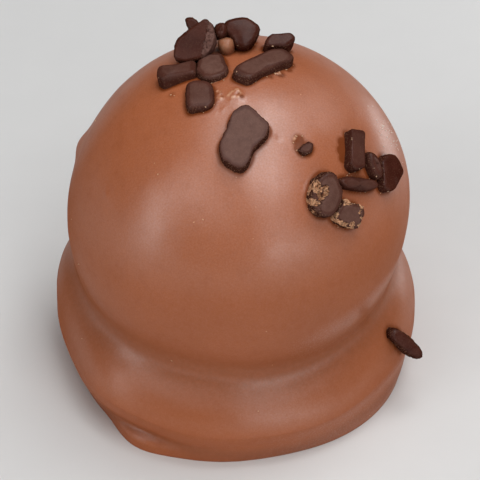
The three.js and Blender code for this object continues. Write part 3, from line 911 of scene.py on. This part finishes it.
# Near-white specks on the shoulder whose colour is a painted glint
GLINT_SPECKS = 44
GLINT_SPECK_SIZE = 0.042
places = [near_a_flake() for _ in range(CRUMBS_NEAR_FLAKES)] + [anywhere() for _ in range(CRUMBS_ELSEWHERE)]
crumb_sizes = [luck.uniform(CRUMB_LEAST, CRUMB_MOST) for _ in places] + [size for _, _, size in BITS]
places += [on_top(x, y) for x, y, _ in BITS]
places += [on_the_shoulder() for _ in range(GLINT_SPECKS)]
crumb_sizes += [GLINT_SPECK_SIZE * luck.uniform(0.7, 1.4) for _ in range(GLINT_SPECKS)]
print(len(places), "crumbs, the largest", 2 * max(crumb_sizes), "mm across")

# %% All crumbs as one piece
PALE_TONE = 0.9
GLINT_TONE = 1.5
PROUD = 0.3
crumb_mesh, crumb_faces, tones = [], [], []
for number, (place, size) in enumerate(zip(places, crumb_sizes)):
    foot = place if praline_distance(*place) > 0 else on_skin(place)
    crumb_faces += ring_faces(CRUMB_AROUND, CRUMB_ROWS, len(crumb_mesh) * CRUMB_POINTS)
    crumb_mesh.append(crumb_points(size, number) + foot + np.array(outward(foot)) * size * PROUD)
    tone = luck.uniform(0, 1) if number < CRUMBS_NEAR_FLAKES else PALE_TONE
    tone = GLINT_TONE if number >= len(places) - GLINT_SPECKS else tone
    tones.append(np.full(CRUMB_POINTS, tone))
crumbs = mesh_piece("crumbs", np.concatenate(crumb_mesh), crumb_faces, {"tone": np.concatenate(tones)})

# %% [markdown]
# ## Milk chocolate
# Milk chocolate is a warm, pale brown, satin rather than glossy, and faintly mottled. A flat colour with
# a shine would look like plastic, so colour and gloss drift over millimetres, and a fine grain breaks the
# highlights. The mesh's numbers add amber collars with painted shade, painted shade in the crease and
# over the foot, painted light on the top, pale scuffs and the bright and dull sides.

# %% Helpers for finishes
def new_finish(name):
    """A material with a plain shader, its node tree and the shader."""
    finish = bpy.data.materials.new(name)
    finish.use_nodes = True
    tree = finish.node_tree
    return finish, tree, tree.nodes["Principled BSDF"]


def feed(node, inputs):
    """Give inputs of a node a value, or a link from another node's socket."""
    for key, value in inputs:
        if isinstance(value, bpy.types.NodeSocket):
            node.id_data.links.new(value, node.inputs[key])
        else:
            node.inputs[key].default_value = value
    return node


def add(tree, kind, inputs=(), **settings):
    """A node with its settings and inputs."""
    node = tree.nodes.new(kind)
    for key, value in settings.items():
        setattr(node, key, value)
    return feed(node, inputs)


def speckle(tree, size_mm, detail=3.0, roughness=0.5):
    """Noise with features of about this size in mm, fixed to the object."""
    place = add(tree, "ShaderNodeTexCoord").outputs["Object"]
    inputs = [("Vector", place), ("Scale", 1 / (size_mm * MM)), ("Detail", detail), ("Roughness", roughness)]
    return add(tree, "ShaderNodeTexNoise", inputs).outputs["Fac"]


def trait(tree, name):
    """A number that the mesh carries for each point."""
    return add(tree, "ShaderNodeAttribute", attribute_name=name).outputs["Fac"]


print("noise of 1 mm has a scale of", round(1 / MM))

# %% Helpers that turn numbers into shares and colours, in the tree of the socket they are given
def spread(value, low, high, out_low=0.0, out_high=1.0):
    """A number moved from one range to another, and held there."""
    names = ("Value", "From Min", "From Max", "To Min", "To Max")
    inputs = zip(names, (value, low, high, out_low, out_high))
    return add(value.id_data, "ShaderNodeMapRange", inputs).outputs["Result"]


def combine(how, first, second):
    """Two numbers put together: MULTIPLY, ADD or MAXIMUM."""
    return add(first.id_data, "ShaderNodeMath", [(0, first), (1, second)], operation=how).outputs[0]


def blend(share, first, second):
    """One colour mixed towards another."""
    inputs = [(0, share), (6, first), (7, second)]
    return add(share.id_data, "ShaderNodeMix", inputs, data_type="RGBA").outputs[2]


def tint(tree, colour, name, low, high, most, target):
    """A colour mixed towards another by a number that the mesh carries."""
    return blend(spread(trait(tree, name), low, high, 0.0, most), colour, target)


def relief_of(height, strength, depth_mm):
    """Fine relief that is too small for the mesh."""
    inputs = [("Height", height), ("Strength", strength), ("Distance", depth_mm * MM)]
    return add(height.id_data, "ShaderNodeBump", inputs).outputs["Normal"]


print("finish helpers ready")

# %% The colours of milk chocolate
MILK = (0.392, 0.121, 0.049, 1)
MILK_PALE = (0.43, 0.133, 0.054, 1)
MILK_DEEP = (0.355, 0.097, 0.034, 1)
# Darker colour: painted shade in the crease and over the foot, and also the dark grain of the nub
MILK_SHADE_AND_NUB_GRAIN = (0.287, 0.102, 0.051, 1)
MILK_BLUSH = (0.43, 0.148, 0.080, 1)
# Paler colour towards the top: painted light
MILK_PAINTED_TOP_LIGHT = (0.46, 0.146, 0.064, 1)
NUB_MILK = (0.33, 0.150, 0.080, 1)
# Amber round the flakes: partly a tint of the coating, partly painted shade
AMBER_AND_SHADE = (0.185, 0.042, 0.010, 1)
SCUFF = (0.66, 0.34, 0.205, 1)


def milk_fleck(tree):
    """Flecks just under 1 mm where the chocolate set darker."""
    return spread(speckle(tree, 0.9, 4.0, 0.6), 0.5, 0.72, 0.0, 0.5)


def milk_grain(tree, colour, deep):
    """The fine blush and the dark grain that all milk chocolate has."""
    blush = spread(speckle(tree, 0.35, 3.0, 0.6), 0.4, 0.65, 0.0, 0.35)
    colour = blend(blush, colour, MILK_BLUSH)
    grain = spread(speckle(tree, 0.11, 2.0, 0.6), 0.35, 0.65, 0.0, 0.55)
    return blend(grain, colour, deep)


def coating_colour(tree):
    """Clouds, painted light on the top, painted shade in the crease and over the foot, flecks, grain, and
    amber with painted shade and scuffs on top.
    """
    colour = blend(spread(speckle(tree, 6.0), 0.35, 0.65), MILK, MILK_PALE)
    # Painted light: paler towards the top
    colour = tint(tree, colour, "height", 0.55, 0.95, 0.9, MILK_PAINTED_TOP_LIGHT)
    colour = blend(milk_fleck(tree), colour, MILK_DEEP)
    # Painted shade: darker in the crease and over the foot
    colour = tint(tree, colour, "crease_shade", 0.0, 1.0, 0.8, MILK_SHADE_AND_NUB_GRAIN)
    colour = milk_grain(tree, colour, MILK_DEEP)
    # Amber tint with painted shade round the flakes
    colour = tint(tree, colour, "collar_and_shade", 0.05, 0.75, 0.95, AMBER_AND_SHADE)
    return blend(trait(tree, "scuff"), colour, SCUFF)


print("milk chocolate:", MILK[:3])

# %% The gloss of milk chocolate
GLOSS_MOST = 1.0
GLOSS_LEAST = 0.05
GLOSS_EXPORTED = 0.7
NUB_GLOSS = 0.35


def edge_on(tree):
    """0 where a face is seen straight on, and 1 at the outline."""
    return add(tree, "ShaderNodeLayerWeight", [("Blend", 0.5)]).outputs["Facing"]


def facing_gloss(tree, most):
    """Gloss that fades towards the outline, so that the praline has no bright rim."""
    return spread(edge_on(tree), 0.25, 0.85, most, GLOSS_LEAST)


def coating_gloss(tree):
    """Dry in the collars, dull on some sides, and sparkling where the skin has set bright."""
    dry = spread(trait(tree, "collar_and_shade"), 0.1, 0.6, 1.0, 0.2)
    level = combine("MULTIPLY", facing_gloss(tree, GLOSS_MOST), dry)
    level = combine("MULTIPLY", level, trait(tree, "shine"))
    sparkle = spread(speckle(tree, 0.12, 2.0), 0.5, 0.66, 0.5, 1.3)
    return combine("MAXIMUM", level, combine("MULTIPLY", trait(tree, "gleam"), sparkle))


def finish_milk(tree, shader, colour, level):
    """Colour, roughness, gloss and grain on a milk chocolate shader."""
    satin = spread(speckle(tree, 1.8, 4.0, 0.6), 0.3, 0.7, 0.30, 0.37)
    level = combine("MULTIPLY", level, spread(speckle(tree, 0.13), 0.3, 0.7, 0.75, 1.25))
    grain = relief_of(speckle(tree, 0.18, 3.0, 0.6), 0.4, 0.02)
    feed(shader, [("Base Color", colour), ("Roughness", satin), ("Normal", grain)])
    feed(shader, [("Specular IOR Level", GLOSS_EXPORTED), ("Specular IOR Level", level)])


finish, tree, shader = new_finish("milk_chocolate")
finish_milk(tree, shader, coating_colour(tree), coating_gloss(tree))
coating.data.materials.append(finish)
finish, tree, shader = new_finish("milk_chocolate_nub")
nub_colour = milk_grain(tree, blend(milk_fleck(tree), NUB_MILK, MILK), MILK_SHADE_AND_NUB_GRAIN)
finish_milk(tree, shader, nub_colour, facing_gloss(tree, NUB_GLOSS))
nub.data.materials.append(finish)
print("milk chocolate on", coating.name, "and", nub.name)

# %% [markdown]
# ## Dark chocolate
# The flakes are nearly black on their rough sides, darkened further as painted shade, and a soft grey
# brown on their faces, from bloom and a painted sheen; the torn ones show a pale, crumbly inside with
# painted shade in its pits. A material for each look would need cuts in the mesh. Instead the mesh says
# how raw and how broken each point is, and one finish turns that into colour, gloss and grain.

# %% The colours of dark chocolate
DARK = (0.052, 0.0126, 0.0076, 1)
DARK_WARM = (0.074, 0.0205, 0.0128, 1)
# Raw sides darker: painted shade
DARK_SHADED_SIDE = (0.040, 0.0118, 0.0074, 1)
# Grey film of bloom on the faces, made lighter as a painted sheen
BLOOM_AND_SHEEN = (0.165, 0.084, 0.065, 1)
FLECK = (0.34, 0.19, 0.12, 1)
PLUM = (0.16, 0.078, 0.062, 1)
TAN = (0.72, 0.385, 0.215, 1)
FLECKS_ON_FACES = 0.12


def flake_colour(tree, bloom_and_sheen, pale, inside, painted_pit_shade):
    """Clouds, bloom with painted sheen on the face, raw sides darkened as painted shade, flecks, and the torn
    inside with painted shade in its pits.
    """
    colour = blend(spread(speckle(tree, 1.4, 4.0), 0.35, 0.65), DARK, DARK_WARM)
    colour = blend(bloom_and_sheen, colour, BLOOM_AND_SHEEN)
    # Raw sides darkened as painted shade
    colour = tint(tree, colour, "raw", 0.1, 0.9, 0.9, DARK_SHADED_SIDE)
    ragged = combine("MAXIMUM", trait(tree, "raw"), FLECKS_ON_FACES)
    fleck = spread(speckle(tree, 0.09, 2.0), 0.58, 0.64, 0.0, 0.8)
    colour = blend(combine("MULTIPLY", fleck, ragged), colour, FLECK)
    # Darker patches of the inside, laid by noise: painted shade in its pits
    deep = tuple(painted_pit_shade * c for c in inside[:3]) + (1,)
    crumb = blend(spread(speckle(tree, 0.14, 3.0, 0.6), 0.36, 0.62), deep, inside)
    return blend(pale, colour, crumb)


print("dark chocolate:", DARK[:3], "with bloom", BLOOM_AND_SHEEN[:3])

# %% The dark chocolate finish
FLAKE_GLOSS_EXPORTED = 0.25


def dark_chocolate(name, inside, painted_pit_shade):
    """The finish of a group of flakes; the last number says how dark the painted shade in the pits of its
    inside is.
    """
    finish, tree, shader = new_finish(name)
    # Bloom with painted sheen on the faces, in dusty patches
    dust = spread(speckle(tree, 0.5, 5.0, 0.65), 0.3, 0.6, 0.6, 1.0)
    bloom_and_sheen = combine("MULTIPLY", trait(tree, "bloom_and_sheen"), dust)
    crumbly = spread(speckle(tree, 0.22, 5.0, 0.75), 0.3, 0.7, -0.5, 0.5)
    pale = spread(combine("ADD", trait(tree, "broken"), crumbly), 0.62, 0.8)
    colour = flake_colour(tree, bloom_and_sheen, pale, inside, painted_pit_shade)
    satin = spread(speckle(tree, 0.7, 4.0, 0.6), 0.3, 0.7, 0.22, 0.34)
    dull = spread(combine("MAXIMUM", pale, bloom_and_sheen), 0.0, 1.0, 0.0, 0.3)
    level = spread(edge_on(tree), 0.1, 0.5, 0.15, 0.0)
    satin = combine("ADD", satin, dull)
    coarse = spread(trait(tree, "raw"), 0.0, 1.0, 0.15, 0.6)
    grain = relief_of(speckle(tree, 0.16, 4.0, 0.65), coarse, 0.05)
    feed(shader, [("Base Color", colour), ("Roughness", satin), ("Normal", grain)])
    feed(shader, [("Specular IOR Level", FLAKE_GLOSS_EXPORTED), ("Specular IOR Level", level)])
    return finish


for piece in flake_pieces:
    # The second number sets the painted shade in the pits of the torn inside
    inside, painted_pit_shade = (PLUM, 0.8) if piece.name == "leaning_flakes" else (TAN, 0.3)
    piece.data.materials.append(dark_chocolate("dark_chocolate_" + piece.name, inside, painted_pit_shade))
print("dark chocolate on", len(flake_pieces), "pieces")

# %% [markdown]
# ## The crumbs' finish
# A broken crumb is paler than a flake, as its rough faces scatter the light. A material for each shade
# would do, but one number for each crumb gives every shade from dark to the near white of the painted glints.

# %% Finish the crumbs
SPECK_PALE = (0.68, 0.42, 0.25, 1)
SPECK_DARK = (0.10, 0.045, 0.03, 1)
# Near white of the shoulder specks: a painted glint
PAINTED_GLINT_WHITE = (0.88, 0.76, 0.66, 1)
finish, tree, shader = new_finish("crumb_chocolate")
shade = tint(tree, SPECK_DARK, "tone", 0.25, 0.6, 1.0, SPECK_PALE)
shade = blend(speckle(tree, 0.05), shade, SPECK_PALE)
shade = tint(tree, shade, "tone", 1.0, GLINT_TONE, 1.0, PAINTED_GLINT_WHITE)
grain = relief_of(speckle(tree, 0.03), 0.3, 0.01)
feed(shader, [("Base Color", shade), ("Roughness", 0.5), ("Normal", grain)])
crumbs.data.materials.append(finish)
print("crumbs from", SPECK_DARK[:3], "to", PAINTED_GLINT_WHITE[:3])

# %% [markdown]
# ## Riding on the frame
# The pieces together stand for the one CAD solid, so each rides on its body and the CAD part is hidden.

# %% Tie the pieces to the frame
for piece in [coating, nub, crumbs, *flake_pieces]:
    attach(piece, "root")
    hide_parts("praline")
print("pieces tied:", 3 + len(flake_pieces))

# %% [markdown]
# ## Table, light and camera
# The photo's light comes from everywhere, strongest from above and a little behind. An even sky would be
# simple but leaves no highlights, so a dozen soft boxes stand where their reflections are seen in the
# photo, with a small card low behind the right shoulder for the bright line there. The pale table throws
# light back on the belly.

# %% The table
TABLE_HALF = 1500
TABLE_DULL = (0.74, 0.74, 0.736, 1)
TABLE_PALE = (0.77, 0.77, 0.766, 1)
corners = [(TABLE_HALF * x, TABLE_HALF * y, 0) for x, y in ((-1, -1), (1, -1), (1, 1), (-1, 1))]
table = mesh_piece("table", corners, [(0, 1, 2, 3)], {})
finish, tree, shader = new_finish("pale_table")
paper = blend(speckle(tree, 4.0), TABLE_DULL, TABLE_PALE)
feed(shader, [("Base Color", paper), ("Roughness", 0.7)])
table.data.materials.append(finish)
print("table", 2 * TABLE_HALF, "mm wide")

# %% Soft light
MIDDLE = Vector((0, 0, cad_high.z / 2))
BOX_DISTANCE = 0.45
CARD_DISTANCE = 0.07
SOFT_BOXES = {
    "overhead": (0, 88, 0.35, 0.35, 0.62),
    "right_overhead": (120, 72, 0.25, 0.25, 0.60),
    "behind_right": (138, 28, 0.20, 0.16, 0.07),
    "low_behind_right": (143, 3, 0.16, 0.09, 0.03),
    "right_high": (124, 40, 0.16, 0.16, 0.11),
    "front_high": (33, 58, 0.20, 0.18, 0.43),
    "front_right": (24, 24, 0.14, 0.40, 0.24),
    "front_low": (22, 9, 0.12, 0.12, 0.06),
    "front_fill": (-18, 36, 0.20, 0.20, 0.10),
    "low_right": (42, 5, 0.12, 0.10, 0.066),
    "left": (-61, 15, 0.15, 0.26, 0.29),
    "left_fill": (-46, 43, 0.20, 0.20, 0.20),
    "bounce_card": (129, -8.0, 0.04, 0.010, 0.0040),
}


def soft_box(name, round_to_right, up, width, height, power, distance):
    """A soft box aimed at the praline: degrees from the front and up, sizes in metres, power in watts."""
    turn, lift = math.radians(round_to_right), math.radians(up)
    away = Vector((math.sin(turn) * math.cos(lift), -math.cos(turn) * math.cos(lift), math.sin(lift)))
    light = bpy.data.lights.new(name, "AREA")
    light.shape = "RECTANGLE"
    light.size = width
    light.size_y = height
    light.energy = power
    box = new_object(name, light)
    box.location = MIDDLE + away * distance
    box.rotation_euler = (-away).to_track_quat("-Z", "Y").to_euler()


for name, values in SOFT_BOXES.items():
    soft_box(name, *values, CARD_DISTANCE if name == "bounce_card" else BOX_DISTANCE)
print(len(SOFT_BOXES), "lights")

# %% A little light from everywhere
SKY_COLOUR = (1.0, 0.99, 0.98, 1)
SKY_STRENGTH = 0.016
world = bpy.data.worlds.new("studio")
world.use_nodes = True
feed(world.node_tree.nodes["Background"], [("Color", SKY_COLOUR), ("Strength", SKY_STRENGTH)])
bpy.context.scene.world = world
bpy.context.scene.view_settings.view_transform = "Standard"
print("sky strength", SKY_STRENGTH)

# %% The camera
ELEVATION = math.radians(42)
DISTANCE = 0.330
SENSOR = 36.0
PICTURE_WIDTH = 37.33
UP_IN_PICTURE = 8.09
RIGHT_IN_PICTURE = 0.39
up = Vector((0, math.sin(ELEVATION), math.cos(ELEVATION)))
back = Vector((0, -math.cos(ELEVATION), math.sin(ELEVATION)))
target = (Vector((RIGHT_IN_PICTURE, 0, 0)) + up * UP_IN_PICTURE) * MM
place = back * DISTANCE
lens = bpy.data.cameras.new("photo_camera")
lens.sensor_width = SENSOR
lens.lens = SENSOR * DISTANCE / (PICTURE_WIDTH * MM)
lens.clip_start = 0.01
lens.clip_end = 10
camera = new_object("photo_camera", lens)
camera.location = place
camera.rotation_euler = (target - place).to_track_quat("-Z", "Y").to_euler()
bpy.context.scene.camera = camera
print("lens", round(lens.lens, 1), "mm at", round(DISTANCE / MM), "mm")
